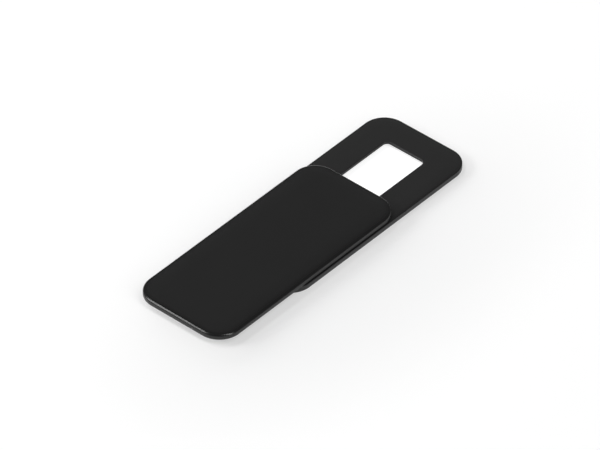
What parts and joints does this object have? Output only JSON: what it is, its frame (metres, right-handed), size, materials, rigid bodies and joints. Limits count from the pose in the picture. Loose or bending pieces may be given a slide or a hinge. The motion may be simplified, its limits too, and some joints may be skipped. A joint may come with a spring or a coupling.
{
  "type": "webcam cover slider",
  "caption": "Flat webcam privacy cover: a rounded base plate with a rectangular window, stuck on by a tape frame, and a rounded plate that slides over the window.",
  "frame": {"origin": "middle of the footprint with the cover slid open, on the surface that the tape sticks to", "axes": "+X along the slide towards the window's end, +Y across the plate, +Z from the adhesive face out through the cover"},
  "size_m": [0.0504, 0.016, 0.0017],
  "materials": {
    "base_plastic": "fine matt moulded black",
    "cover_plastic": "fine matt moulded black",
    "tape": "milky adhesive film"
  },
  "bodies": {
    "base": {"base_plate": "base_plastic", "adhesive_tape": "tape"},
    "slider": {"slider_cover": "cover_plastic"}
  },
  "joints": [
    {"name": "cover_slide", "type": "slide", "parent": "base", "child": "slider", "axis": [1, 0, 0], "range_m": [0, 0.01408]}
  ]
}
